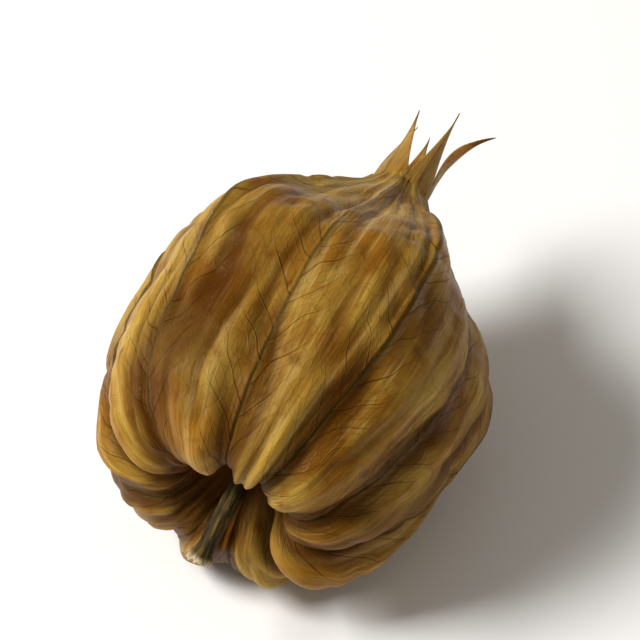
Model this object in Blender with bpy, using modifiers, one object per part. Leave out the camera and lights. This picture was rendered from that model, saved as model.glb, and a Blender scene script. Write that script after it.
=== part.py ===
"""A physalis fruit lying on its side: a papery husk, the berry inside it and the cut stem.

Each piece is modelled with the fruit standing on its stem end, its axis on +Z. One empty then
lays the fruit down, with the tip of the husk towards +Y. All sizes are in metres.
"""

import math
import random

import bpy
from mathutils import Euler, Matrix, Vector, noise

MM = 0.001
GAP = 0.3 * MM  # air left between pieces that touch on the real fruit

# The husk's turned outline, from the bottom of the dimple round the stem out to the tips
DIMPLE_DEPTH = 5.6 * MM
RIM_RADIUS = 6.8 * MM
BELLY_RADIUS = 14.8 * MM
BELLY_HEIGHT = 16.5 * MM
THROAT_RADIUS = 2.6 * MM
THROAT_HEIGHT = 35.0 * MM
TOOTH_LENGTH = 8.5 * MM
TOOTH_FLARE = -0.3 * MM
TOOTH_TAPER = 1.3  # 1 gives straight edges, more draws the tip out
CLEFT_SHARE = 0.14  # how high the cleft between two teeth stands, next to a tooth's tip
HUSK_WALL = 0.6 * MM

# Ten ribs run along the husk. Every second one ends in a tooth
RIBS = 10
RIB_HEIGHT = 0.55 * MM
RIB_HALF_WIDTH = 0.6 * MM
RIB_WANDER = math.radians(6)
RIB_SWAY = math.radians(3)
SWAY_PACE = 2.2  # radians of a rib's sway for each station of the outline
HUSK_TWIST = math.radians(14)
PANEL_BULGE = 2.0 * MM
PANEL_FULLNESS = 0.8  # under 1 fills the panels out towards their ribs
CORNER_HEIGHT = 2.0 * MM
CORNER_ROUNDING = 0.22  # 0 gives the five corners a sharp edge
MEAN_FROM_CORNER = 0.65
CRUMPLE_HEIGHT = 1.1 * MM
CRUMPLE_SIZE = 9 * MM
TIP_BEND = Vector((1.6 * MM, 1.2 * MM, 0))  # how far the throat stands off the axis

# The mesh of the husk
COLUMNS_PER_PANEL = 8
COLUMN_CLUSTER = 0.5  # how closely the columns gather at the ribs, from 0 to 1
DIMPLE_ROWS = 5
SHOULDER_ROWS = 6
FLANK_ROWS = 11
TOOTH_ROWS = 3

# The berry
BERRY_RADIUS = 9.6 * MM
BERRY_FLATTENING = 0.96  # its length along the husk's axis, next to its width
BERRY_SAG = 2.4 * MM  # how far the berry hangs below the husk's axis as the fruit lies

# The stem, from the bottom of the dimple to its cut end
STEM_RADIUS = 0.7 * MM
STEM_FOOT_RADIUS = 1.1 * MM
STEM_END_RADIUS = 1.05 * MM
STEM_CLEARANCE = 0.8 * MM  # keeps the rim of the foot clear of the dimple's curved floor

# How the fruit lies
TIP_RAISE = math.radians(8)
ROLL = math.radians(18)
SEAT = Vector((0, -19.93 * MM, 12.85 * MM))  # the middle of the rim round the stem

SEED = 7


def remove_everything():
    for thing in list(bpy.data.objects):
        bpy.data.objects.remove(thing, do_unlink=True)


def make_material(name, colour, roughness):
    material = bpy.data.materials.new(name)
    material.use_nodes = True
    shader = material.node_tree.nodes["Principled BSDF"]
    shader.inputs["Base Color"].default_value = (*colour, 1)
    shader.inputs["Roughness"].default_value = roughness
    shader.inputs["Metallic"].default_value = 0
    return material


def blend_along(knots, station):
    """The value at a station of the outline, eased between the (station, value) knots."""
    for (start, low), (end, high) in zip(knots, knots[1:]):
        if station <= end:
            share = max(0.0, (station - start) / (end - start))
            return low + (high - low) * share * share * (3 - 2 * share)
    return knots[-1][1]


def bezier(points, share):
    a, b, c, d = (Vector(point) for point in points)
    rest = 1 - share
    return a * rest**3 + b * 3 * rest**2 * share + c * 3 * rest * share**2 + d * share**3


# Stretches of the outline as Bezier curves of (radius, height). Station 0 is the bottom of the
# dimple, 1 the rim round the stem, 2 the belly, 3 the throat and 4 the tips of the teeth
DIMPLE_CURVE = (
    (0, DIMPLE_DEPTH),
    (0.54 * RIM_RADIUS, DIMPLE_DEPTH),
    (0.66 * RIM_RADIUS, 0),
    (RIM_RADIUS, 0),
)
SHOULDER_CURVE = (
    (RIM_RADIUS, 0),
    (0.72 * BELLY_RADIUS, 0),
    (BELLY_RADIUS, 0.42 * BELLY_HEIGHT),
    (BELLY_RADIUS, BELLY_HEIGHT),
)
FLANK_CURVE = (
    (BELLY_RADIUS, BELLY_HEIGHT),
    (BELLY_RADIUS, 0.68 * THROAT_HEIGHT),
    (2.2 * THROAT_RADIUS, 0.84 * THROAT_HEIGHT),
    (THROAT_RADIUS, THROAT_HEIGHT),
)
OUTLINE = (DIMPLE_CURVE, SHOULDER_CURVE, FLANK_CURVE)
THROAT_STATION = 3

# How strongly each feature shows along the outline
BULGE_ALONG = ((0, 0.0), (0.5, 0.12), (1.3, 1.0), (2.1, 0.4), (2.6, 0.1), (3, 0.0))
CORNER_ALONG = ((1, 0.0), (2.1, 1.0), (2.45, 1.0), (2.95, 0.0))
RIB_ALONG = ((0.4, 0.0), (1.5, 1.0), (2.7, 0.8), (3, 0.4), (4, 0.2))
CRUMPLE_ALONG = ((0.5, 0.0), (1.4, 0.8), (2, 1.0), (2.8, 0.5), (4, 0.3))


def outline_point(station):
    """The radius and height of the outline, before the teeth are shaped."""
    if station >= THROAT_STATION:
        reach = station - THROAT_STATION
        return Vector((THROAT_RADIUS + TOOTH_FLARE * reach**2, THROAT_HEIGHT + TOOTH_LENGTH * reach))
    stretch = int(station)
    return bezier(OUTLINE[stretch], station - stretch)


def outline_normal(station):
    """The outward direction across the outline, as (radial, axial)."""
    step = 0.02
    before = outline_point(max(0, station - step))
    after = outline_point(min(4, station + step))
    along = (after - before).normalized()
    return Vector((along.y, -along.x))


class RibPlan:
    """The chance differences between one rib, panel or tooth and the next."""

    def __init__(self):
        draw = random.Random(SEED)
        self.turn = [draw.uniform(-RIB_WANDER, RIB_WANDER) for _ in range(RIBS)]
        self.sway = [draw.uniform(0, math.tau) for _ in range(RIBS)]
        self.bulge = [draw.uniform(0.7, 1.25) for _ in range(RIBS)]
        self.tooth_lean = [draw.uniform(-0.9, 0.7) for _ in range(RIBS)]
        self.tooth_turn = [draw.uniform(-0.3, 0.3) for _ in range(RIBS)]
        self.tooth_length = [draw.uniform(0.78, 1.12) for _ in range(RIBS)]


def rib_angle(plan, rib, station):
    """The direction of a rib round the axis. Ribs wander a little and spiral towards the tip."""
    index = rib % RIBS
    spread = min(station, THROAT_STATION) / THROAT_STATION
    sway = RIB_SWAY * math.sin(SWAY_PACE * station + plan.sway[index])
    return math.tau * rib / RIBS + plan.turn[index] + (sway + HUSK_TWIST * spread) * spread


def tooth_share(across):
    """The height of the husk's edge, from 1 at a tooth's tip down to the cleft between two."""
    from_tip = abs((across / 2 + 0.5) % 1 - 0.5) * 2
    return CLEFT_SHARE + (1 - CLEFT_SHARE) * (1 - from_tip) ** TOOTH_TAPER


def husk_point(plan, across, station, rib_height):
    """A point of the husk's outer face. across counts ribs round the axis, 0 to 10."""
    rib = int(across) % RIBS
    share = across - int(across)
    angle = rib_angle(plan, rib, station)
    angle += (rib_angle(plan, rib + 1, station) - angle) * share
    base = outline_point(station)
    normal = outline_normal(station)
    panel_width = math.tau * base.x / RIBS
    off_rib = min(share, 1 - share) * panel_width

    fullness = math.sin(math.pi * share) ** PANEL_FULLNESS
    lift = PANEL_BULGE * plan.bulge[rib] * blend_along(BULGE_ALONG, station) * fullness
    from_corner = math.hypot(math.sin(math.pi * across / 2), CORNER_ROUNDING)
    lift += CORNER_HEIGHT * blend_along(CORNER_ALONG, station) * (MEAN_FROM_CORNER - from_corner)
    lift += rib_height * blend_along(RIB_ALONG, station) * math.exp(-((off_rib / RIB_HALF_WIDTH) ** 2))
    spot = Vector((base.x * math.cos(angle), base.x * math.sin(angle), base.y))
    lift += CRUMPLE_HEIGHT * blend_along(CRUMPLE_ALONG, station) * noise.noise(spot / CRUMPLE_SIZE)

    radius = base.x + normal.x * lift
    height = base.y + normal.y * lift
    if station > THROAT_STATION:
        reach = station - THROAT_STATION
        tooth = (round(across / 2) * 2) % RIBS
        edge = tooth_share(across)
        rise = TOOTH_LENGTH * reach * edge * plan.tooth_length[tooth]
        height = THROAT_HEIGHT + rise
        bend = (rise / TOOTH_LENGTH) ** 2
        radius = THROAT_RADIUS + (TOOTH_FLARE + plan.tooth_lean[tooth] * MM) * bend
        angle += plan.tooth_turn[tooth] * bend
    bent = TIP_BEND * (height / THROAT_HEIGHT) ** 2
    return Vector((radius * math.cos(angle), radius * math.sin(angle), height)) + bent


def lying_pose():
    """Turns the standing fruit onto its side, with the tip towards +Y and a little raised."""
    lay_down = Euler((TIP_RAISE - math.pi / 2, 0, 0)).to_matrix().to_4x4()
    return Matrix.Translation(SEAT) @ lay_down @ Matrix.Rotation(ROLL, 4, "Z")


def make_outline_mesh():
    """The outline as a chain of edges at +X, from the tips down the outer side to the dimple."""
    rows = []
    for start, count in enumerate((DIMPLE_ROWS, SHOULDER_ROWS, FLANK_ROWS, TOOTH_ROWS)):
        rows += [start + step / count for step in range(count)]
    rows.append(THROAT_STATION + 1)
    rows.reverse()
    points = [outline_point(station) for station in rows]
    mesh = bpy.data.meshes.new("husk_outline")
    mesh.from_pydata([(p.x, 0, p.y) for p in points], [(i, i + 1) for i in range(len(rows) - 1)], [])
    mesh.attributes.new("station", "FLOAT", "POINT").data.foreach_set("value", rows)
    return mesh


def turn_outline(outline, columns):
    """The mesh that a Screw modifier turns from the outline."""
    lathe = bpy.data.objects.new("husk_lathe", outline)
    bpy.context.scene.collection.objects.link(lathe)
    screw = lathe.modifiers.new("turn", "SCREW")
    screw.steps = columns
    screw.render_steps = columns
    screw.use_merge_vertices = True
    screw.merge_threshold = 0.01 * MM
    turned = lathe.evaluated_get(bpy.context.evaluated_depsgraph_get())
    mesh = bpy.data.meshes.new_from_object(turned)
    bpy.data.objects.remove(lathe)
    return mesh


def mark_across(mesh, columns):
    """Notes at each vertex how many ribs round the axis it is, with columns gathered at the ribs."""
    marks = mesh.attributes.new("across", "FLOAT", "POINT").data
    for vertex, mark in zip(mesh.vertices, marks):
        turn = math.atan2(vertex.co.y, vertex.co.x) % math.tau
        column = round(turn / math.tau * columns) % columns
        rib, step = divmod(column, COLUMNS_PER_PANEL)
        share = step / COLUMNS_PER_PANEL
        mark.value = rib + share - COLUMN_CLUSTER * math.sin(math.tau * share) / math.tau


def shape_sheet(mesh, count, rib_height):
    """Moves the first vertices to the husk's outer face, pressed flat where the fruit lies."""
    plan = RibPlan()
    pose = lying_pose()
    to_fruit = pose.inverted()
    across = mesh.attributes["across"].data
    station = mesh.attributes["station"].data
    for index in range(count):
        lying = pose @ husk_point(plan, across[index].value, station[index].value, rib_height)
        lying.z = max(lying.z, 0)
        mesh.vertices[index].co = to_fruit @ lying


def give_wall(sheet, thickness):
    """The mesh of the sheet with a wall. Its outer vertices come first, in the sheet's order."""
    carrier = bpy.data.objects.new("husk_sheet", sheet)
    bpy.context.scene.collection.objects.link(carrier)
    wall = carrier.modifiers.new("wall", "SOLIDIFY")
    wall.thickness = thickness
    wall.offset = -1
    walled = carrier.evaluated_get(bpy.context.evaluated_depsgraph_get())
    mesh = bpy.data.meshes.new_from_object(walled)
    bpy.data.objects.remove(carrier)
    return mesh


def make_husk(collection):
    """A thin shell with an even wall, on which the ribs stand up outside."""
    columns = RIBS * COLUMNS_PER_PANEL
    sheet = turn_outline(make_outline_mesh(), columns)
    mark_across(sheet, columns)
    outer_count = len(sheet.vertices)
    shape_sheet(sheet, outer_count, 0)
    mesh = give_wall(sheet, HUSK_WALL)
    mesh.name = "husk"
    shape_sheet(mesh, outer_count, RIB_HEIGHT)
    mesh.shade_smooth()
    husk = bpy.data.objects.new("husk", mesh)
    collection.objects.link(husk)
    mesh.materials.append(make_material("dry_husk", (0.42, 0.24, 0.07), 0.75))
    return husk


def make_berry(collection):
    """A slightly flattened globe, set just clear of the dimple's inner face."""
    bpy.ops.mesh.primitive_uv_sphere_add(segments=32, ring_count=18, radius=BERRY_RADIUS)
    berry = bpy.context.active_object
    berry.name = "berry"
    berry.data.name = "berry"
    berry.scale = (1, 1, BERRY_FLATTENING)
    bpy.ops.object.transform_apply(location=False, rotation=False, scale=True)
    down = lying_pose().to_3x3().inverted() @ Vector((0, 0, -1))
    down.z = 0
    berry.location = down.normalized() * BERRY_SAG
    berry.location.z = DIMPLE_DEPTH + HUSK_WALL + GAP + BERRY_RADIUS
    berry.data.shade_smooth()
    berry.data.materials.append(make_material("berry_skin", (0.75, 0.20, 0.01), 0.3))
    for home in list(berry.users_collection):
        home.objects.unlink(berry)
    collection.objects.link(berry)
    return berry


# The stem's course as it lies, in steps from the middle of the dimple's floor
STEM_COURSE = (
    Vector((0, 0, 0)),
    Vector((0, -2.8 * MM, -0.3 * MM)),
    Vector((-0.2 * MM, -5.4 * MM, -1.0 * MM)),
    Vector((-0.6 * MM, -7.3 * MM, -2.3 * MM)),
    Vector((-1.2 * MM, -8.6 * MM, -4.0 * MM)),
)
STEM_STEPS = 4  # points of the stem's line for each stretch of the course
STEM_RADIUS_ALONG = ((0, STEM_FOOT_RADIUS), (0.3, STEM_RADIUS), (0.85, STEM_RADIUS), (1, STEM_END_RADIUS))


def smooth_course(course, steps):
    """Points along a Catmull-Rom curve through the course."""
    ends = [course[0] * 2 - course[1], *course, course[-1] * 2 - course[-2]]
    points = []
    for a, b, c, d in zip(ends, ends[1:], ends[2:], ends[3:]):
        for step in range(steps):
            t = step / steps
            start = b * 2 + (c - a) * t + (a * 2 - b * 5 + c * 4 - d) * t**2
            points.append((start + (b * 3 - a - c * 3 + d) * t**3) / 2)
    return points + [course[-1]]


def make_stem(collection):
    """A curved stalk that widens at its foot, where it joins the husk, and at the cut end."""
    pose = lying_pose()
    foot = pose @ Vector((0, 0, DIMPLE_DEPTH - STEM_CLEARANCE))
    points = [pose.inverted() @ (foot + step) for step in smooth_course(STEM_COURSE, STEM_STEPS)]
    curve = bpy.data.curves.new("stem", "CURVE")
    curve.dimensions = "3D"
    curve.bevel_depth = STEM_RADIUS
    curve.bevel_resolution = 2
    curve.use_fill_caps = True
    spline = curve.splines.new("POLY")
    spline.points.add(len(points) - 1)
    for index, (knot, point) in enumerate(zip(spline.points, points)):
        knot.co = (*point, 1)
        knot.radius = blend_along(STEM_RADIUS_ALONG, index / (len(points) - 1)) / STEM_RADIUS
    stem = bpy.data.objects.new("stem", curve)
    collection.objects.link(stem)
    curve.materials.append(make_material("dry_stem", (0.10, 0.065, 0.025), 0.8))
    return stem


def main():
    remove_everything()
    collection = bpy.data.collections.new("physalis_fruit")
    bpy.context.scene.collection.children.link(collection)
    lie = bpy.data.objects.new("lie", None)
    collection.objects.link(lie)
    lie.matrix_world = lying_pose()
    for piece in (make_husk(collection), make_berry(collection), make_stem(collection)):
        piece.parent = lie


main()
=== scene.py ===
"""A picked physalis fruit on its side: papery husk, waxy berry and dry stalk."""

import math
import random

import bpy
from mathutils import Euler, Matrix, Vector, noise


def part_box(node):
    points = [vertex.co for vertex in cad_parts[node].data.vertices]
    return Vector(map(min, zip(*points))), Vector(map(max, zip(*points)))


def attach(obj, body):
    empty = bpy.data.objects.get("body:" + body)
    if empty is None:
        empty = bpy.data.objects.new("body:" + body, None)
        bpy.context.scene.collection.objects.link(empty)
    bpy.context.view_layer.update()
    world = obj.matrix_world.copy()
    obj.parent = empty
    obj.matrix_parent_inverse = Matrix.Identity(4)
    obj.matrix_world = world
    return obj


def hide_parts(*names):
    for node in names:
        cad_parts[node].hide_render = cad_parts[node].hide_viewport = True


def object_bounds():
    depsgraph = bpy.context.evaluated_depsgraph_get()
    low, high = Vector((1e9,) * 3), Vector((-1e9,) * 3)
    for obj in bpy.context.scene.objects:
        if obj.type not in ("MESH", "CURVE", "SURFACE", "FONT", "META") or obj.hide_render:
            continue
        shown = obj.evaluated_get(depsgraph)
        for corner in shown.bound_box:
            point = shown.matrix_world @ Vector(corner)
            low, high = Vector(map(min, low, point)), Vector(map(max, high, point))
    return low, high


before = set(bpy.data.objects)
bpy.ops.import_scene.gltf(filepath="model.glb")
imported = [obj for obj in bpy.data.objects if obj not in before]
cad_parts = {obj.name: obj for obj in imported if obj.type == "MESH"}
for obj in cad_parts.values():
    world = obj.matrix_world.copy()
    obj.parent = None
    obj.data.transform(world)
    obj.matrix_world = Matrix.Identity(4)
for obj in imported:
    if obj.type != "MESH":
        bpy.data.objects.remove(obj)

MM = 0.001
SOLID_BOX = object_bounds()

# The camera and the floor
CAMERA_AZIMUTH = 22
CAMERA_ELEVATION = 49
CAMERA_DISTANCE = 0.6
VIEW_WIDTH = 54 * MM  # how much the picture shows from left to right, at the fruit
SENSOR_WIDTH = 36
FLOOR_SIZE = 4

# The husk's outline and ribs, as the solid husk has them
DIMPLE_DEPTH = 5.6 * MM
RIM_RADIUS = 6.8 * MM
BELLY_RADIUS = 14.8 * MM
BELLY_HEIGHT = 16.5 * MM
THROAT_RADIUS = 2.6 * MM
THROAT_HEIGHT = 35.0 * MM
TOOTH_LENGTH = 8.5 * MM
TOOTH_FLARE = -0.3 * MM
TOOTH_TAPER = 1.3
CLEFT_SHARE = 0.14
RIBS = 10
RIB_HEIGHT = 0.55 * MM
RIB_HALF_WIDTH = 0.45 * MM
RIB_WANDER = math.radians(6)
RIB_SWAY = math.radians(3)
SWAY_PACE = 2.2  # how fast a rib's sway changes from station to station
HUSK_TWIST = math.radians(14)
PANEL_BULGE = 2.0 * MM
PANEL_FULLNESS = 0.8
CORNER_HEIGHT = 2.0 * MM
CORNER_ROUNDING = 0.22
MEAN_FROM_CORNER = 0.65
CRUMPLE_HEIGHT = 1.1 * MM
CRUMPLE_SIZE = 9 * MM
TIP_BEND = Vector((1.6 * MM, 1.2 * MM, 0))
TIP_RAISE = math.radians(8)
ROLL = math.radians(18)
SEAT = Vector((0, -19.93 * MM, 12.85 * MM))
SEED = 7

# The limits of chance from one panel or tooth to the next
BULGES = (0.7, 1.25)  # as shares of the mean bulge
TOOTH_LEANS = (-0.9 * MM, 0.7 * MM)
TOOTH_TURNS = (-0.3, 0.3)  # in radians
TOOTH_LENGTHS = (0.78, 1.12)  # as shares of the mean length

# The husk's finer relief, and its mesh
PAPER_WALL = 0.22 * MM
FOLD_HEIGHT = 0.9 * MM
FOLDS_PER_PANEL = 2.4
FOLD_DRIFT = 0.8
WRINKLE_HEIGHT = 0.5 * MM
WRINKLES_PER_PANEL = 3.6
WRINKLE_DRIFT = 1.5
WRINKLE_STEEPNESS = 2.2
CRINKLE_HEIGHT = 0.34 * MM
CRINKLE_SIZE = 3.2 * MM
CRINKLE_STEEPNESS = 2.5
COLUMNS_PER_PANEL = 30
COLUMN_CLUSTER = 0.6  # how strongly the mesh's columns gather at the ribs
DIMPLE_ROWS = 20
SHOULDER_ROWS = 30
FLANK_ROWS = 46
TOOTH_ROWS = 16
PANEL_WIDTH = math.tau * BELLY_RADIUS / RIBS
TIP_CURL = 1.5 * MM
TOOTH_TWIST = 3.2 * MM  # how far one edge of a tooth turns out and the other in, at its tip's height
TOOTH_KEEL = 1.2 * MM  # how far both edges fold in from the tooth's middle, at its tip's height
TIP_THINNING = 0.6  # how much of its thickness the paper loses towards a tooth's tip
HAIR_SHARE = 0.09  # how far a tooth ends in a dry hair, as a share of the tooth's length
HAIR_HALF_WIDTH = 0.05  # as a share of a panel
POLE_RADIUS = 0.05 * MM  # the first size of the ring that is merged to the dimple's lowest point
MERGE_DISTANCE = 0.001 * MM

# How the husk's values for its materials are weighed
# GLOW_REACH and GLOW_FALLOFF set the painted glow: orange that stands in for the berry's light coming
# through the husk
GLOW_REACH = 7.5 * MM  # how near the berry has to lie for its colour to show through the husk
GLOW_FALLOFF = 1.5
DIP_SHADE = 1.7
FURROW_SHADE = 0.5

# The berry
SCAR_DEPTH = 0.7 * MM
SCAR_RADIUS = 0.16  # as a share of the berry's
SKIN_SWELL = 0.006  # how far the berry is off a true sphere, as a share of its radius
SWELL_PACE = 2.0  # how fast that changes over the berry
BERRY_SEGMENTS = 96
BERRY_RINGS = 64

# The stalk
STEM_RADIUS = 0.7 * MM
STEM_FOOT_RADIUS = 1.1 * MM
STEM_END_RADIUS = 1.05 * MM
STEM_CLEARANCE = 0.8 * MM
STEM_RIDGES = 5
STEM_RIDGE_HEIGHT = 0.12 * MM
STEM_RIDGE_SWAY = 0.9  # how far the ridges' wave swings round the stalk, in radians
STEM_SWAY_PACE = 0.11  # how fast it swings from ring to ring
STEM_GRAIN_HEIGHT = 0.09 * MM
STEM_GRAIN_ROUND = 3  # how fast the grain changes round the stalk
STEM_GRAIN_ALONG = 0.25  # how fast it changes from ring to ring
STEM_COLUMNS = 48
STEM_STEPS = 14
STEM_ROOT_SPREAD = 1.5  # how much wider than its foot the stalk is where it grows from the husk
STEM_RING_STEP = 0.2 * MM  # from ring to ring of the straight tube, before it is bent
END_RINGS = (0.85, 0.55, 0.25)  # the rings across the torn end, as shares of its radius
END_SINK = 0.25 * MM  # how far each of them lies below the one outside it
END_RIDGE_SHARE = 0.4  # how much of the ridges' height is left across the torn end
END_JAG_SHARE = 0.8
JAG = (-0.15 * MM, 0.45 * MM)  # how far the torn fibres stand out
JAG_SHUFFLE = 7  # how many columns the rings across the end skip from one fibre to the next
FRAYED_SHARE = 0.07  # how much of the stalk's length is frayed
TORN_SHARE = 0.1  # how much of it is pale from the tear


def deselect_all():
    bpy.ops.object.select_all(action="DESELECT")


def apply_modifier(piece, modifier):
    deselect_all()
    piece.select_set(True)
    bpy.context.view_layer.objects.active = piece
    bpy.ops.object.modifier_apply(modifier=modifier.name)


def blend_along(knots, station):
    """The value at a station of the outline, eased between the (station, value) knots."""
    for (start, low), (end, high) in zip(knots, knots[1:]):
        if station <= end:
            share = max(0.0, (station - start) / (end - start))
            return low + (high - low) * share * share * (3 - 2 * share)
    return knots[-1][1]


def bezier(points, share):
    """The point at a share of the way along a Bezier curve with two handles."""
    a, b, c, d = (Vector(point) for point in points)
    rest = 1 - share
    return a * rest**3 + b * 3 * rest**2 * share + c * 3 * rest * share**2 + d * share**3


# Stretches of the outline as Bezier curves of (radius, height). Station 0 is the bottom of the
# dimple, 1 the rim round the stem, 2 the belly, 3 the throat and 4 the tips of the teeth
DIMPLE_CURVE = (
    (0, DIMPLE_DEPTH),
    (0.54 * RIM_RADIUS, DIMPLE_DEPTH),
    (0.66 * RIM_RADIUS, 0),
    (RIM_RADIUS, 0),
)
SHOULDER_CURVE = (
    (RIM_RADIUS, 0),
    (0.72 * BELLY_RADIUS, 0),
    (BELLY_RADIUS, 0.42 * BELLY_HEIGHT),
    (BELLY_RADIUS, BELLY_HEIGHT),
)
FLANK_CURVE = (
    (BELLY_RADIUS, BELLY_HEIGHT),
    (BELLY_RADIUS, 0.68 * THROAT_HEIGHT),
    (2.2 * THROAT_RADIUS, 0.84 * THROAT_HEIGHT),
    (THROAT_RADIUS, THROAT_HEIGHT),
)
OUTLINE = (DIMPLE_CURVE, SHOULDER_CURVE, FLANK_CURVE)
THROAT_STATION = 3

# How strongly each feature shows along the outline
BULGE_ALONG = ((0, 0.0), (0.5, 0.12), (1.3, 1.0), (2.1, 0.4), (2.6, 0.1), (3, 0.0))
CORNER_ALONG = ((1, 0.0), (2.1, 1.0), (2.45, 1.0), (2.95, 0.0))
RIB_ALONG = ((0.4, 0.0), (1.5, 1.0), (2.7, 0.8), (3, 0.4), (4, 0.2))
CRUMPLE_ALONG = ((0.5, 0.0), (1.4, 0.8), (2, 1.0), (2.8, 0.5), (4, 0.3))
FOLD_ALONG = ((0.1, 0.0), (0.9, 0.9), (1.6, 0.8), (2.3, 0.3), (2.8, 0.3), (3.1, 0.15), (4, 0.1))
WRINKLE_ALONG = ((0.2, 0.0), (0.9, 1.0), (2.6, 0.8), (3.0, 0.3), (4, 0.1))
CRINKLE_ALONG = ((0.3, 0.0), (1.0, 0.6), (1.6, 1.0), (2.7, 0.7), (3, 0.2), (4, 0.1))
# These two weigh painted shade: in the valleys beside the ribs, and in the dimple round the stem
VALLEY_SHADE_ALONG = ((0, 1.0), (0.7, 1.0), (1.3, 0.9), (2.0, 0.35), (2.6, 0.1), (3, 0.25), (4, 0.1))
DIMPLE_SHADE_ALONG = ((0, 1.0), (0.5, 0.7), (1.1, 0.0))


def outline_point(station):
    """The radius and height of the outline, before the teeth are shaped."""
    if station >= THROAT_STATION:
        reach = station - THROAT_STATION
        return Vector((THROAT_RADIUS + TOOTH_FLARE * reach**2, THROAT_HEIGHT + TOOTH_LENGTH * reach))
    stretch = int(station)
    return bezier(OUTLINE[stretch], station - stretch)


def outline_normal(station):
    """The outward direction across the outline, as (radial, axial)."""
    step = 0.02
    before = outline_point(max(0, station - step))
    after = outline_point(min(4, station + step))
    along = (after - before).normalized()
    return Vector((along.y, -along.x))


class RibPlan:
    """The chance differences between one rib, panel or tooth and the next."""

    def __init__(self):
        draw = random.Random(SEED)
        self.turn = [draw.uniform(-RIB_WANDER, RIB_WANDER) for _ in range(RIBS)]
        self.sway = [draw.uniform(0, math.tau) for _ in range(RIBS)]
        self.bulge = [draw.uniform(*BULGES) for _ in range(RIBS)]
        self.tooth_lean = [draw.uniform(*TOOTH_LEANS) for _ in range(RIBS)]
        self.tooth_turn = [draw.uniform(*TOOTH_TURNS) for _ in range(RIBS)]
        self.tooth_length = [draw.uniform(*TOOTH_LENGTHS) for _ in range(RIBS)]
        self.tip_curl = [draw.uniform(-1, 1) for _ in range(RIBS)]


def rib_angle(plan, rib, station):
    """The direction of a rib round the axis. Ribs wander a little and spiral towards the tip."""
    index = rib % RIBS
    spread = min(station, THROAT_STATION) / THROAT_STATION
    sway = RIB_SWAY * math.sin(SWAY_PACE * station + plan.sway[index])
    return math.tau * rib / RIBS + plan.turn[index] + (sway + HUSK_TWIST * spread) * spread


def tooth_share(across):
    """The height of the husk's edge, from 1 at a tooth's tip down to the cleft between two."""
    from_tip = abs((across / 2 + 0.5) % 1 - 0.5) * 2
    hair = HAIR_SHARE * math.exp(-((from_tip / HAIR_HALF_WIDTH) ** 2))
    return CLEFT_SHARE + (1 - CLEFT_SHARE) * (1 - from_tip) ** TOOTH_TAPER + hair


def lengthwise_noise(across, station, per_panel, drift):
    """Noise drawn out along the husk, from -1 to 1, with about so many swells in a panel."""
    turn = math.tau * across / RIBS
    reach = per_panel * RIBS / math.tau
    return noise.noise(Vector((reach * math.cos(turn), reach * math.sin(turn), drift * station)))


def fold_at(across, station):
    """Long folds that gather at the dimple and the throat, from -1 in a fold to 1 on a crest."""
    return lengthwise_noise(across, station, FOLDS_PER_PANEL, FOLD_DRIFT)


def wrinkle_at(across, station):
    """Narrow wrinkles along the husk, from 0 in a sharp crease to 1 between creases."""
    swell = lengthwise_noise(across, station, WRINKLES_PER_PANEL, WRINKLE_DRIFT)
    return min(1.0, WRINKLE_STEEPNESS * abs(swell))


def crinkle_at(spot):
    """Sharp little creases in stiff paper, from 0 on a crease to 1 between them."""
    return min(1.0, CRINKLE_STEEPNESS * abs(noise.noise(spot / CRINKLE_SIZE)))


def lift_at(plan, across, station, angle):
    """How far the husk's panels, corners, ribs and creases stand out from its outline."""
    base = outline_point(station)
    spot = Vector((base.x * math.cos(angle), base.x * math.sin(angle), base.y))
    share = across - int(across)
    off_rib = min(share, 1 - share) * math.tau * base.x / RIBS
    fullness = math.sin(math.pi * share) ** PANEL_FULLNESS
    lift = PANEL_BULGE * plan.bulge[int(across)] * blend_along(BULGE_ALONG, station) * fullness
    from_corner = math.hypot(math.sin(math.pi * across / 2), CORNER_ROUNDING)
    lift += CORNER_HEIGHT * blend_along(CORNER_ALONG, station) * (MEAN_FROM_CORNER - from_corner)
    lift += RIB_HEIGHT * blend_along(RIB_ALONG, station) * math.exp(-((off_rib / RIB_HALF_WIDTH) ** 2))
    lift += CRUMPLE_HEIGHT * blend_along(CRUMPLE_ALONG, station) * noise.noise(spot / CRUMPLE_SIZE)
    lift += FOLD_HEIGHT * blend_along(FOLD_ALONG, station) * fold_at(across, station)
    lift += WRINKLE_HEIGHT * blend_along(WRINKLE_ALONG, station) * (wrinkle_at(across, station) - 0.5)
    lift += CRINKLE_HEIGHT * blend_along(CRINKLE_ALONG, station) * (crinkle_at(spot) - 0.5)
    return lift


def tooth_at(plan, across, station):
    """The radius and height of a point of a tooth, and how far the tooth turns round the axis."""
    middle_rib = round(across / 2) * 2
    side = across - middle_rib
    tooth = middle_rib % RIBS
    curl = plan.tip_curl[tooth]
    reach = station - THROAT_STATION
    rise = TOOTH_LENGTH * reach * tooth_share(across) * plan.tooth_length[tooth]
    bend = (rise / TOOTH_LENGTH) ** 2
    radius = THROAT_RADIUS + (TOOTH_FLARE + plan.tooth_lean[tooth]) * bend + TIP_CURL * curl * bend**2
    radius += (TOOTH_TWIST * curl * side - TOOTH_KEEL * abs(side)) * bend
    return radius, THROAT_HEIGHT + rise, plan.tooth_turn[tooth] * bend


def husk_point(plan, across, station):
    """A point of the husk's outer face. across counts ribs round the axis, 0 to 10."""
    rib = int(across)
    angle = rib_angle(plan, rib, station)
    angle += (rib_angle(plan, rib + 1, station) - angle) * (across - rib)
    if station > THROAT_STATION:
        radius, height, turn = tooth_at(plan, across, station)
        angle += turn
    else:
        base = outline_point(station)
        normal = outline_normal(station)
        lift = lift_at(plan, across, station, angle)
        radius = base.x + normal.x * lift
        height = base.y + normal.y * lift
    bent = TIP_BEND * (height / THROAT_HEIGHT) ** 2
    return Vector((radius * math.cos(angle), radius * math.sin(angle), height)) + bent


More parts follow.
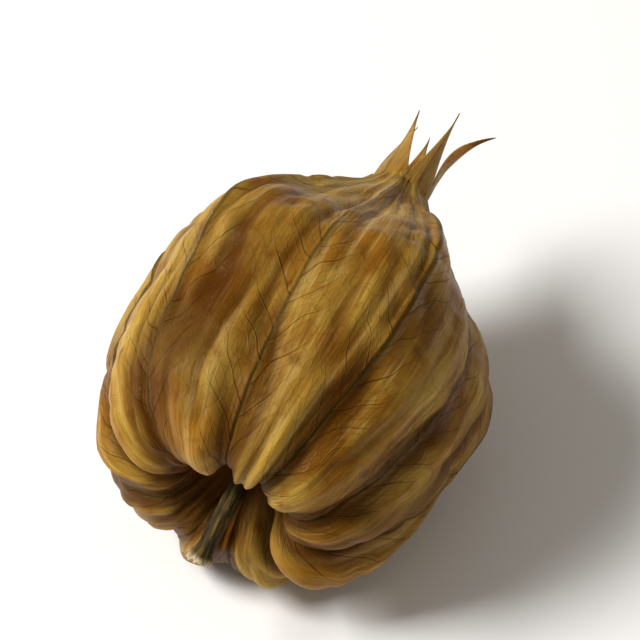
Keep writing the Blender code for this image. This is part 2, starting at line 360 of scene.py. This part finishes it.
def lying_pose():
    """Turns the standing fruit onto its side, with the tip towards +Y and a little raised."""
    lay_down = Euler((TIP_RAISE - math.pi / 2, 0, 0)).to_matrix().to_4x4()
    return Matrix.Translation(SEAT) @ lay_down @ Matrix.Rotation(ROLL, 4, "Z")


def husk_stations():
    """The stations of the husk's rings, from the tips of the teeth down to the dimple."""
    rows = []
    for start, count in enumerate((DIMPLE_ROWS, SHOULDER_ROWS, FLANK_ROWS, TOOTH_ROWS)):
        rows += [start + step / count for step in range(count)]
    rows.append(THROAT_STATION + 1)
    return rows[::-1]


def raise_rings(name, columns, outline):
    """A tube of rings, extruded from a circle through the outline's (radius, height) points."""
    deselect_all()
    bpy.ops.mesh.primitive_circle_add(vertices=columns, radius=outline[0].x, location=(0, 0, 0))
    tube = bpy.context.active_object
    tube.name = name
    tube.data.name = name
    bpy.ops.object.mode_set(mode="EDIT")
    bpy.ops.transform.translate(value=(0, 0, outline[0].y))
    for here, there in zip(outline, outline[1:]):
        bpy.ops.mesh.extrude_region_move(TRANSFORM_OT_translate={"value": (0, 0, there.y - here.y)})
        widen = there.x / here.x
        bpy.ops.transform.resize(value=(widen, widen, 1))
    bpy.ops.object.mode_set(mode="OBJECT")
    return tube


def column_across(column):
    """How many ribs round the axis a column of the husk's mesh is, gathered at the ribs."""
    rib, step = divmod(column, COLUMNS_PER_PANEL)
    share = step / COLUMNS_PER_PANEL
    return rib + share - COLUMN_CLUSTER * math.sin(math.tau * share) / math.tau


def add_value(mesh, name, values):
    """A value for each vertex, which the materials read by its name."""
    mesh.attributes.new(name, "FLOAT", "POINT").data.foreach_set("value", values)


def lay_out(mesh, name, turns, heights, full_turn):
    """Gives a tube of rings a map in metres: how far round it each column is, how high each ring,
    and a full turn where the last column's faces meet the first."""
    columns = len(turns)
    layer = mesh.uv_layers.new(name=name)
    for face in mesh.polygons:
        corners = [divmod(mesh.loops[loop].vertex_index, columns) for loop in face.loop_indices]
        face_columns = [column for ring, column in corners]
        wraps = max(face_columns) - min(face_columns) > columns / 2
        for loop, (ring, column) in zip(face.loop_indices, corners):
            turned = turns[column] + (full_turn if wraps and column < columns / 2 else 0)
            layer.data[loop].uv = (turned, heights[ring])


def lay_out_husk(mesh, columns, outline):
    """Maps the husk across the panels one way and along the ribs the other."""
    heights = [0.0]
    for here, there in zip(outline[::-1], outline[-2::-1]):
        heights.append(heights[-1] + (there - here).length)
    turns = [column_across(column) * PANEL_WIDTH for column in range(columns)]
    lay_out(mesh, "husk_lay", turns, heights[::-1], RIBS * PANEL_WIDTH)


def painted_glow_at(spot, berry_middle, berry_radius):
    """How strong the painted glow is at a spot, from 0 to 1: orange that stands in for the berry's light
    coming through the thin husk.
    """
    gap = (spot - berry_middle).length - berry_radius
    return max(0.0, 1 - gap / GLOW_REACH) ** GLOW_FALLOFF


def crease_shade_at(across, station):
    """Painted shade in the husk's valleys, folds, furrows and dimple, from 0 to 1. In the folds and round
    the stem it also stands for the husk's own darker, thicker tissue.
    """
    off_rib = abs(across - round(across)) * 2
    shade = blend_along(VALLEY_SHADE_ALONG, station) * (1 - off_rib) ** 2
    shade += DIP_SHADE * max(0.0, -fold_at(across, station)) * blend_along(FOLD_ALONG, station)
    furrow = (1 - wrinkle_at(across, station)) ** 2
    shade += FURROW_SHADE * furrow * blend_along(WRINKLE_ALONG, station)
    return min(1.0, shade + blend_along(DIMPLE_SHADE_ALONG, station))


def close_and_face_out(piece):
    """Merges the ring at a pole to one point and turns the faces outwards."""
    deselect_all()
    piece.select_set(True)
    bpy.context.view_layer.objects.active = piece
    bpy.ops.object.mode_set(mode="EDIT")
    bpy.ops.mesh.select_all(action="SELECT")
    bpy.ops.mesh.remove_doubles(threshold=MERGE_DISTANCE)
    bpy.ops.mesh.normals_make_consistent(inside=False)
    bpy.ops.object.mode_set(mode="OBJECT")


def give_thickness(husk, tip):
    """Turns the husk's surface into a wall, thinner towards the tips of the teeth."""
    thickness = husk.vertex_groups.new(name="thickness")
    for vertex, along_tooth in zip(husk.data.vertices, tip):
        kept = 1 - TIP_THINNING * along_tooth / (1 + HAIR_SHARE)
        thickness.add([vertex.index], kept, "REPLACE")
    close_and_face_out(husk)
    wall = husk.modifiers.new("wall", "SOLIDIFY")
    wall.vertex_group = thickness.name
    wall.thickness = PAPER_WALL
    wall.offset = -1
    apply_modifier(husk, wall)


def make_husk():
    """The papery calyx, with ribs, creases and folds, as a thin wall."""
    columns = RIBS * COLUMNS_PER_PANEL
    stations = husk_stations()
    outline = [outline_point(station) for station in stations]
    rings = outline[:-1] + [Vector((POLE_RADIUS, DIMPLE_DEPTH))]
    husk = raise_rings("papery_husk", columns, rings)
    mesh = husk.data
    lay_out_husk(mesh, columns, outline)

    plan = RibPlan()
    pose = lying_pose()
    berry_low, berry_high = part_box("berry")
    berry_middle = (berry_low + berry_high) / 2
    berry_radius = (berry_high.x - berry_low.x) / 2
    # The glow values are painted light: orange standing in for the berry's light coming through the husk
    painted_glow = []
    # The crease values are painted shade in the valleys, folds and dimple, partly also the husk's own
    # darker tissue
    crease = []
    tip = []
    for vertex in mesh.vertices:
        station = stations[vertex.index // columns]
        across = column_across(vertex.index % columns)
        lying = pose @ husk_point(plan, across, station)
        lying.z = max(lying.z, 0)
        vertex.co = lying
        painted_glow.append(painted_glow_at(lying, berry_middle, berry_radius))
        crease.append(crease_shade_at(across, station))
        tip.append(max(0.0, station - THROAT_STATION) * tooth_share(across))
    add_value(mesh, "painted_glow", painted_glow)
    add_value(mesh, "crease", crease)
    add_value(mesh, "tip", tip)
    give_thickness(husk, tip)
    mesh.shade_smooth()
    return husk


# The stalk's course as it lies, in steps from the middle of its foot, as the solid stem has it
STEM_COURSE = (
    Vector((0, 0, 0)),
    Vector((0, -2.8 * MM, -0.3 * MM)),
    Vector((-0.2 * MM, -5.4 * MM, -1.0 * MM)),
    Vector((-0.6 * MM, -7.3 * MM, -2.3 * MM)),
    Vector((-1.2 * MM, -8.6 * MM, -4.0 * MM)),
)
STEM_RADIUS_ALONG = ((0, STEM_FOOT_RADIUS), (0.3, STEM_RADIUS), (0.85, STEM_RADIUS), (1, STEM_END_RADIUS))


def smooth_course(course, steps):
    """Points along a Catmull-Rom curve through the course."""
    ends = [course[0] * 2 - course[1], *course, course[-1] * 2 - course[-2]]
    points = []
    for a, b, c, d in zip(ends, ends[1:], ends[2:], ends[3:]):
        for step in range(steps):
            t = step / steps
            slow = b * 2 + (c - a) * t + (a * 2 - b * 5 + c * 4 - d) * t**2
            points.append((slow + (b * 3 - a - c * 3 + d) * t**3) / 2)
    return points + [course[-1]]


def stem_course():
    """The middle of each ring of the stalk, from the dimple's floor to the torn end."""
    pose = lying_pose()
    floor = pose @ Vector((0, 0, DIMPLE_DEPTH))
    foot = pose @ Vector((0, 0, DIMPLE_DEPTH - STEM_CLEARANCE))
    return [floor] + [foot + step for step in smooth_course(STEM_COURSE, STEM_STEPS)]


def bend_stem(mesh, course, outline):
    """Bends the straight tube along its course, ridges it and frays its end."""
    draw = random.Random(SEED)
    jag = [draw.uniform(*JAG) for _ in range(STEM_COLUMNS)]
    side = Vector((1, 0, 0))
    last = len(course) - 1
    torn = []
    for vertex in mesh.vertices:
        ring, column = divmod(vertex.index, STEM_COLUMNS)
        index = min(ring, last)
        share = index / last
        turn = math.tau * column / STEM_COLUMNS
        sway = STEM_RIDGE_SWAY * math.sin(index * STEM_SWAY_PACE)
        ridge = STEM_RIDGE_HEIGHT * math.cos(STEM_RIDGES * turn + sway)
        grain_x = math.cos(turn) * STEM_GRAIN_ROUND
        grain_y = math.sin(turn) * STEM_GRAIN_ROUND
        grain = Vector((grain_x, grain_y, index * STEM_GRAIN_ALONG))
        ridge += STEM_GRAIN_HEIGHT * noise.noise(grain)
        if ring > last:
            fibre = jag[(column * JAG_SHUFFLE) % STEM_COLUMNS]
            width = outline[ring].x + ridge * END_RIDGE_SHARE
            push = fibre * END_JAG_SHARE - END_SINK * (ring - last)
        else:
            width = outline[ring].x + ridge
            push = jag[column] * max(0.0, share - 1 + FRAYED_SHARE) / FRAYED_SHARE
        ahead = (course[min(index + 1, last)] - course[max(index - 1, 0)]).normalized()
        first = (side - ahead * side.dot(ahead)).normalized()
        outward = first * math.cos(turn) + ahead.cross(first) * math.sin(turn)
        vertex.co = course[index] + outward * width + ahead * push
        torn.append(max(0.0, share - 1 + TORN_SHARE) / TORN_SHARE)
    add_value(mesh, "torn", torn)


def cap_and_face_out(piece):
    """Fills the open rings at a tube's two ends and turns the faces outwards."""
    deselect_all()
    piece.select_set(True)
    bpy.context.view_layer.objects.active = piece
    bpy.ops.object.mode_set(mode="EDIT")
    bpy.ops.mesh.select_all(action="DESELECT")
    bpy.ops.mesh.select_mode(type="EDGE")
    bpy.ops.mesh.select_non_manifold(extend=False)
    bpy.ops.mesh.fill()
    bpy.ops.mesh.select_all(action="SELECT")
    bpy.ops.mesh.normals_make_consistent(inside=False)
    bpy.ops.object.mode_set(mode="OBJECT")


def make_stem():
    """A ridged stalk from the floor of the dimple to a torn, fibrous end."""
    course = stem_course()
    last = len(course) - 1
    widths = [blend_along(STEM_RADIUS_ALONG, index / last) for index in range(last + 1)]
    widths[0] = STEM_FOOT_RADIUS * STEM_ROOT_SPREAD
    outline = [Vector((width, index * STEM_RING_STEP)) for index, width in enumerate(widths)]
    outline += [Vector((widths[-1] * share, last * STEM_RING_STEP)) for share in END_RINGS]
    stem = raise_rings("dry_stalk", STEM_COLUMNS, outline)
    bend_stem(stem.data, course, outline)
    girth = math.tau * STEM_RADIUS
    turns = [column / STEM_COLUMNS * girth for column in range(STEM_COLUMNS)]
    ring_gap = sum((there - here).length for here, there in zip(course, course[1:])) / last
    heights = [ring * ring_gap for ring in range(len(outline))]
    lay_out(stem.data, "stalk_lay", turns, heights, girth)
    cap_and_face_out(stem)
    stem.data.shade_smooth()
    return stem


def make_berry():
    """The round fruit, a little flattened, with the scar where it hangs from the husk."""
    low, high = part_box("berry")
    middle = (low + high) / 2
    radius = (high.x - low.x) / 2
    shorter = (high.y - low.y) / (high.x - low.x)
    deselect_all()
    bpy.ops.mesh.primitive_uv_sphere_add(
        segments=BERRY_SEGMENTS,
        ring_count=BERRY_RINGS,
        radius=radius,
        location=(0, 0, 0),
    )
    berry = bpy.context.active_object
    berry.name = "waxy_berry"
    berry.data.name = "waxy_berry"
    stem_way = lying_pose().to_quaternion()
    scar = []
    for vertex in berry.data.vertices:
        place = vertex.co.normalized()
        off_axis = math.hypot(place.x, place.y)
        sunk = math.exp(-((off_axis / SCAR_RADIUS) ** 2)) if place.z < 0 else 0.0
        scar.append(sunk)
        swell = 1 + SKIN_SWELL * noise.noise(place * SWELL_PACE)
        vertex.co = place * (radius * swell - SCAR_DEPTH * sunk)
        vertex.co.z *= shorter
        vertex.co = middle + stem_way @ vertex.co
    add_value(berry.data, "scar", scar)
    berry.data.uv_layers[0].name = "skin_lay"
    berry.data.shade_smooth()
    return berry


def srgb(code):
    """A linear colour from an sRGB hex value such as b4873f."""
    parts = [int(code[i : i + 2], 16) / 255 for i in (0, 2, 4)]
    return tuple(p / 12.92 if p <= 0.04045 else ((p + 0.055) / 1.055) ** 2.4 for p in parts) + (1.0,)


def add_node(tree, kind, settings, inputs):
    """Adds a shader node. An input takes a value, a socket, or a node for its first output."""
    node = tree.nodes.new("ShaderNode" + kind)
    for name, value in settings.items():
        setattr(node, name, value)
    for name, source in inputs.items():
        if isinstance(source, bpy.types.Node):
            source = next(output for output in source.outputs if output.enabled)
        if isinstance(source, bpy.types.NodeSocket):
            tree.links.new(source, node.inputs[name])
        else:
            node.inputs[name].default_value = source
    return node


# The setting of a range node that eases in and out
SMOOTH = {"interpolation_type": "SMOOTHSTEP"}


def new_material(name):
    """A new material, its node tree and its shader."""
    material = bpy.data.materials.new(name)
    material.use_nodes = True
    return material, material.node_tree, material.node_tree.nodes["Principled BSDF"]


def lay_coats(tree, colour, coats):
    """Lays colours over one another. A coat is a pattern, the pattern's values where the coat
    begins and is fullest, how much it then covers, and its colour."""
    for pattern, begins, full, cover, code in coats:
        limits = {"Value": pattern, "From Min": begins, "From Max": full, "To Max": cover}
        share = add_node(tree, "MapRange", SMOOTH, limits)
        colour = add_node(tree, "Mix", {"data_type": "RGBA"}, {0: share, 6: colour, 7: srgb(code)})
    return colour.outputs[2]


def raise_relief(tree, distance, reliefs):
    """The bump from several patterns, each with its height as a share of the distance."""
    height = 0.0
    for pattern, share in reliefs:
        height = add_node(tree, "Math", {"operation": "MULTIPLY_ADD"}, {0: pattern, 1: share, 2: height})
    return add_node(tree, "Bump", {}, {"Distance": distance, "Height": height}).outputs["Normal"]


def drawn_out_noise(tree, lay, width, length, detail):
    """Noise with swells of about that width across the map and that length along it."""
    stretch = {"Vector": lay, "Scale": (1 / width, 1 / length, 1)}
    drawn = add_node(tree, "Mapping", {}, stretch)
    return add_node(tree, "TexNoise", {}, {"Vector": drawn, "Scale": 1.0, "Detail": detail})


# Pattern sizes on the husk. Real fibres and veins are about a tenth of a millimetre wide: these
# are drawn two or three times as coarse, because finer ones would not show
RIB_LINE_SHARE = 0.034  # half the width of a rib's dark line, as a share of a panel
VEIN_WIDTH = 0.34 * MM
VEIN_SPACING = 3.4 * MM
TWIG_WIDTH = 0.7 * VEIN_WIDTH
TWIG_SPACING = 1.3 * MM
VEIN_CLIMB = 1.5  # how far a side vein runs towards the tip for each step away from its rib
VEIN_WAVER = 5 * MM
VEIN_SHIFT = 5.0  # how many spacings chance may shift the veins of a half panel
VEIN_FADE = (0.22, 0.47)  # where side veins begin to fade and where they end, as shares of a panel
VEIN_THINNEST = 0.45  # where side veins are down to a third of their width, as a share of a panel
HUSK_RELIEF = 0.12 * MM
FIBRE_WIDTH = 0.26 * MM
FIBRE_LENGTH = 5 * MM
STREAK_WIDTH = 1.2 * MM
STREAK_LENGTH = 11 * MM
NET_SIZE = 0.8 * MM
NET_BEND_SIZE = 2 * MM
NET_STRETCH = 0.45  # how fast the net changes along the ribs, as a share of how fast it does across
SWAY_SIZE = 5 * MM
PATCH_SIZE = 7 * MM
STAIN_SIZE = 2.4 * MM


def side_veins(tree, half, off_rib, height, sway, spacing, width):
    """Veins that leave each rib at chance heights, from 0 between them to 1 on a vein."""
    chance = add_node(tree, "TexWhiteNoise", {"noise_dimensions": "1D"}, {"W": half})
    rise = add_node(tree, "Math", {"operation": "DIVIDE"}, {0: height, 1: spacing})
    slope = -VEIN_CLIMB * PANEL_WIDTH / spacing
    climb = add_node(tree, "Math", {"operation": "MULTIPLY_ADD"}, {0: off_rib, 1: slope, 2: rise})
    shift = {0: chance, 1: VEIN_SHIFT, 2: climb}
    start = add_node(tree, "Math", {"operation": "MULTIPLY_ADD"}, shift)
    bend = {0: sway, 1: VEIN_WAVER / spacing, 2: start}
    waver = add_node(tree, "Math", {"operation": "MULTIPLY_ADD"}, bend)
    off_vein = add_node(tree, "Math", {"operation": "PINGPONG"}, {0: waver, 1: 0.5})
    half_width = width / spacing / 2
    thinning = {
        "Value": off_rib,
        "From Max": VEIN_THINNEST,
        "To Min": half_width,
        "To Max": half_width / 3,
    }
    edge = add_node(tree, "MapRange", {}, thinning)
    line = add_node(tree, "MapRange", SMOOTH, {"Value": off_vein, "From Min": edge, "From Max": 0.0})
    fading = {"Value": off_rib, "From Min": VEIN_FADE[1], "From Max": VEIN_FADE[0]}
    fade = add_node(tree, "MapRange", SMOOTH, fading)
    return add_node(tree, "Math", {"operation": "MULTIPLY"}, {0: line, 1: fade})


def vein_net(tree, lay):
    """The finest veins, as a net of long meshes. It is 0 on a vein."""
    bend = add_node(tree, "TexNoise", {}, {"Vector": lay, "Scale": 1 / NET_BEND_SIZE, "Detail": 2})
    pull = {0: bend.outputs["Color"], 1: (NET_SIZE,) * 3, 2: lay}
    pulled = add_node(tree, "VectorMath", {"operation": "MULTIPLY_ADD"}, pull)
    net_lay = add_node(tree, "Mapping", {}, {"Vector": pulled, "Scale": (1, NET_STRETCH, 1)})
    meshes = {"Vector": net_lay, "Scale": 1 / NET_SIZE}
    return add_node(tree, "TexVoronoi", {"feature": "DISTANCE_TO_EDGE"}, meshes)


def dried_calyx():
    """Dried leaf tissue: it looks like satin, golden brown paper with fine fibres along it, thin
    dark ribs and side veins, painted shade in its valleys, folds and dimple, and a painted
    orange glow where the berry lies close behind, standing in for its light coming through the paper."""
    material, tree, shader = new_material("dried_calyx")
    place = add_node(tree, "TexCoord", {}, {}).outputs["Object"]
    lay = add_node(tree, "UVMap", {"uv_map": "husk_lay"}, {})
    # crease: painted shade in the valleys, folds and dimple, partly the tissue's own darker brown
    crease = add_node(tree, "Attribute", {"attribute_name": "crease"}, {}).outputs["Fac"]
    # glow: painted light, orange where the berry's light would come through the husk
    painted_glow = add_node(tree, "Attribute", {"attribute_name": "painted_glow"}, {}).outputs["Fac"]
    tip = add_node(tree, "Attribute", {"attribute_name": "tip"}, {}).outputs["Fac"]
    patches = add_node(tree, "TexNoise", {}, {"Vector": place, "Scale": 1 / PATCH_SIZE, "Detail": 3})
    stains = add_node(tree, "TexNoise", {}, {"Vector": place, "Scale": 1 / STAIN_SIZE, "Detail": 4})

    # The map counts panels sideways, so a whole number is the middle of a rib
    sides = add_node(tree, "SeparateXYZ", {}, {"Vector": lay})
    across = add_node(tree, "Math", {"operation": "DIVIDE"}, {0: sides.outputs["X"], 1: PANEL_WIDTH})
    off_rib = add_node(tree, "Math", {"operation": "PINGPONG"}, {0: across, 1: 0.5})

    # Side veins leave each rib at a shallow angle and thin out half way across, and finer ones
    # stand closer together between them
    halves = add_node(tree, "Math", {"operation": "MULTIPLY"}, {0: across, 1: 2.0})
    half = add_node(tree, "Math", {"operation": "FLOOR"}, {0: halves})
    sway = add_node(tree, "TexNoise", {}, {"Vector": place, "Scale": 1 / SWAY_SIZE, "Detail": 1})
    height = sides.outputs["Y"]
    veins = side_veins(tree, half, off_rib, height, sway, VEIN_SPACING, VEIN_WIDTH)
    twigs = side_veins(tree, half, off_rib, height, sway, TWIG_SPACING, TWIG_WIDTH)

    # Fine fibres and broader streaks run from the dimple to the tip
    fibres = drawn_out_noise(tree, lay, FIBRE_WIDTH, FIBRE_LENGTH, 3)
    streaks = drawn_out_noise(tree, lay, STREAK_WIDTH, STREAK_LENGTH, 2)
    net = vein_net(tree, lay)

    coats = (
        (patches, 0.35, 0.65, 1.0, "a88534"),
        (streaks, 0.49, 0.63, 0.44, "5f3203"),
        (streaks, 0.46, 0.34, 0.36, "c0a463"),
        (fibres, 0.48, 0.72, 0.32, "5f3e0a"),
        (fibres, 0.46, 0.28, 0.24, "cfac6c"),
        # Painted glow: orange that stands in for the berry's light coming through the thin husk
        (painted_glow, 0.05, 0.8, 0.62, "9c4302"),
        (stains, 0.54, 0.68, 0.36, "7a450b"),
        (stains, 0.64, 0.74, 0.45, "462504"),
        (net, 0.05, 0.0, 0.22, "4a3008"),
        (twigs, 0.0, 1.0, 0.24, "4a3008"),
        (veins, 0.0, 1.0, 0.5, "452c07"),
        # Painted shade: darker in the valleys, folds, furrows and dimple, partly also the tissue's own
        # darker brown
        (crease, 0.1, 1.0, 0.86, "401b00"),
        (tip, 0.02, 0.4, 0.5, "b0904c"),
        (off_rib, RIB_LINE_SHARE, RIB_LINE_SHARE / 4, 0.7, "3a2f0e"),
        (tip, 0.75, 1.0, 0.8, "3a260a"),
    )
    colour = lay_coats(tree, srgb("8a5c17"), coats)
    tree.links.new(colour, shader.inputs["Base Color"])
    net_ridge = add_node(tree, "MapRange", SMOOTH, {"Value": net, "From Min": 0.1, "From Max": 0.0})
    reliefs = (
        (fibres, 0.5),
        (streaks, 1.2),
        (veins, 0.6),
        (twigs, 0.2),
        (net_ridge, 0.12),
        (stains, 0.8),
    )
    relief = raise_relief(tree, HUSK_RELIEF, reliefs)
    tree.links.new(relief, shader.inputs["Normal"])
    wear = {"Value": patches, "From Min": 0.3, "From Max": 0.7, "To Min": 0.36, "To Max": 0.5}
    roughness = add_node(tree, "MapRange", {}, wear)
    tree.links.new(roughness.outputs[0], shader.inputs["Roughness"])
    shader.inputs["IOR"].default_value = 1.45
    shader.inputs["Specular IOR Level"].default_value = 0.18
    shader.inputs["Specular Tint"].default_value = srgb("e8c88e")
    shader.inputs["Subsurface Weight"].default_value = 0.32
    shader.inputs["Subsurface Radius"].default_value = (1, 0.5, 0.2)
    shader.inputs["Subsurface Scale"].default_value = 1 * MM
    return material


# Pattern sizes on the berry and on the stalk
MERIDIANS = 14  # faint pale lines on the berry from pole to pole
BLUSH_SIZE = 8 * MM
SPECK_SIZE = 0.6 * MM
SKIN_RELIEF = 0.03 * MM
STALK_FIBRE_WIDTH = 0.25 * MM
STALK_FIBRE_LENGTH = 3 * MM
STALK_PATCH_SIZE = 1.5 * MM
STALK_RELIEF = 0.2 * MM


def waxy_skin():
    """Ripe berry skin: smooth, orange and glossy, with faint pale lines and a brown scar."""
    material, tree, shader = new_material("waxy_skin")
    place = add_node(tree, "TexCoord", {}, {}).outputs["Object"]
    lay = add_node(tree, "UVMap", {"uv_map": "skin_lay"}, {})
    scar = add_node(tree, "Attribute", {"attribute_name": "scar"}, {}).outputs["Fac"]
    blush = add_node(tree, "TexNoise", {}, {"Vector": place, "Scale": 1 / BLUSH_SIZE, "Detail": 3})
    specks = add_node(tree, "TexNoise", {}, {"Vector": place, "Scale": 1 / SPECK_SIZE, "Detail": 2})
    sides = add_node(tree, "SeparateXYZ", {}, {"Vector": lay})
    turn = {0: sides.outputs["X"], 1: MERIDIANS, 2: blush}
    round_it = add_node(tree, "Math", {"operation": "MULTIPLY_ADD"}, turn)
    off_line = add_node(tree, "Math", {"operation": "PINGPONG"}, {0: round_it, 1: 0.5})
    coats = (
        (blush, 0.35, 0.65, 1.0, "e88f17"),
        (off_line, 0.1, 0.0, 0.3, "f2ad4a"),
        (specks, 0.56, 0.74, 0.25, "f0a840"),
        (scar, 0.3, 0.8, 0.9, "8a5a1e"),
    )
    tree.links.new(lay_coats(tree, srgb("d56a0b"), coats), shader.inputs["Base Color"])
    relief = raise_relief(tree, SKIN_RELIEF, ((specks, 0.5), (scar, 1.0)))
    tree.links.new(relief, shader.inputs["Normal"])
    shader.inputs["Roughness"].default_value = 0.28
    shader.inputs["Subsurface Weight"].default_value = 0.15
    shader.inputs["Subsurface Radius"].default_value = (1, 0.45, 0.15)
    shader.inputs["Subsurface Scale"].default_value = 2 * MM
    shader.inputs["Coat Weight"].default_value = 0.2
    return material


def dry_stalk():
    """Dried green stalk: dull olive brown with dark grooves, and pale fibres where it tore."""
    material, tree, shader = new_material("dry_stalk")
    place = add_node(tree, "TexCoord", {}, {}).outputs["Object"]
    lay = add_node(tree, "UVMap", {"uv_map": "stalk_lay"}, {})
    torn = add_node(tree, "Attribute", {"attribute_name": "torn"}, {}).outputs["Fac"]
    grooves = drawn_out_noise(tree, lay, STALK_FIBRE_WIDTH, STALK_FIBRE_LENGTH, 3)
    spots = {"Vector": place, "Scale": 1 / STALK_PATCH_SIZE, "Detail": 3}
    patches = add_node(tree, "TexNoise", {}, spots)
    coats = (
        (patches, 0.35, 0.65, 1.0, "4b3a10"),
        (grooves, 0.46, 0.34, 0.45, "735c24"),
        (grooves, 0.52, 0.62, 0.85, "1c1205"),
        (torn, 0.2, 0.9, 0.9, "bda885"),
        (grooves, 0.55, 0.7, 0.4, "3c2c14"),
    )
    tree.links.new(lay_coats(tree, srgb("2e2107"), coats), shader.inputs["Base Color"])
    relief = raise_relief(tree, STALK_RELIEF, ((grooves, -1.0), (patches, 0.5)))
    tree.links.new(relief, shader.inputs["Normal"])
    shader.inputs["Roughness"].default_value = 0.75
    shader.inputs["Specular IOR Level"].default_value = 0.2
    return material


def around(azimuth, elevation, distance):
    """The place at a direction from the fruit. Azimuth 0 is in front, at -Y."""
    turn, lift = math.radians(azimuth), math.radians(elevation)
    flat = distance * math.cos(lift)
    return Vector((flat * math.sin(turn), -flat * math.cos(turn), distance * math.sin(lift)))


def place_camera(middle):
    """A camera that looks down at the fruit from beside its stem end."""
    camera = bpy.data.cameras.new("camera")
    camera.sensor_width = SENSOR_WIDTH
    camera.lens = SENSOR_WIDTH * CAMERA_DISTANCE / VIEW_WIDTH
    camera.clip_start = 0.01
    stand = bpy.data.objects.new("camera", camera)
    bpy.context.scene.collection.objects.link(stand)
    offset = around(CAMERA_AZIMUTH, CAMERA_ELEVATION, CAMERA_DISTANCE)
    stand.location = middle + offset
    stand.rotation_euler = offset.to_track_quat("Z", "Y").to_euler()
    bpy.context.scene.camera = stand


def place_softbox(name, middle, azimuth, elevation, distance, size, power):
    """A square, soft light that faces the fruit."""
    light = bpy.data.lights.new(name, "AREA")
    light.size = size
    light.energy = power
    stand = bpy.data.objects.new(name, light)
    bpy.context.scene.collection.objects.link(stand)
    offset = around(azimuth, elevation, distance)
    stand.location = middle + offset
    stand.rotation_euler = offset.to_track_quat("Z", "Y").to_euler()


def matt_white_board():
    """Painted board, for the floor: it looks pale and even, with no gloss."""
    material, _, shader = new_material("matt_white_board")
    shader.inputs["Base Color"].default_value = srgb("f1f0ee")
    shader.inputs["Roughness"].default_value = 0.9
    return material


def set_studio(middle):
    """A pale floor, soft light from the upper left and a bright, even surround."""
    deselect_all()
    bpy.ops.mesh.primitive_plane_add(size=FLOOR_SIZE, location=(0, 0, 0))
    floor = bpy.context.active_object
    floor.name = "studio_floor"
    floor.data.materials.append(matt_white_board())
    world = bpy.data.worlds.new("studio")
    world.use_nodes = True
    background = world.node_tree.nodes["Background"]
    background.inputs["Color"].default_value = srgb("fff9f0")
    background.inputs["Strength"].default_value = 0.3
    bpy.context.scene.world = world
    place_softbox("key_light", middle, azimuth=-62, elevation=46, distance=0.8, size=0.32, power=8.8)
    bpy.context.scene.view_settings.view_transform = "Standard"


def dress(piece, node, material):
    """Gives a piece its finish and lets it stand for a node of the solid fruit."""
    piece.data.materials.clear()
    piece.data.materials.append(material)
    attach(piece, "root")
    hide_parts(node)


middle = (SOLID_BOX[0] + SOLID_BOX[1]) / 2
place_camera(middle)
dress(make_husk(), "husk", dried_calyx())
dress(make_berry(), "berry", waxy_skin())
dress(make_stem(), "stem", dry_stalk())
set_studio(middle)
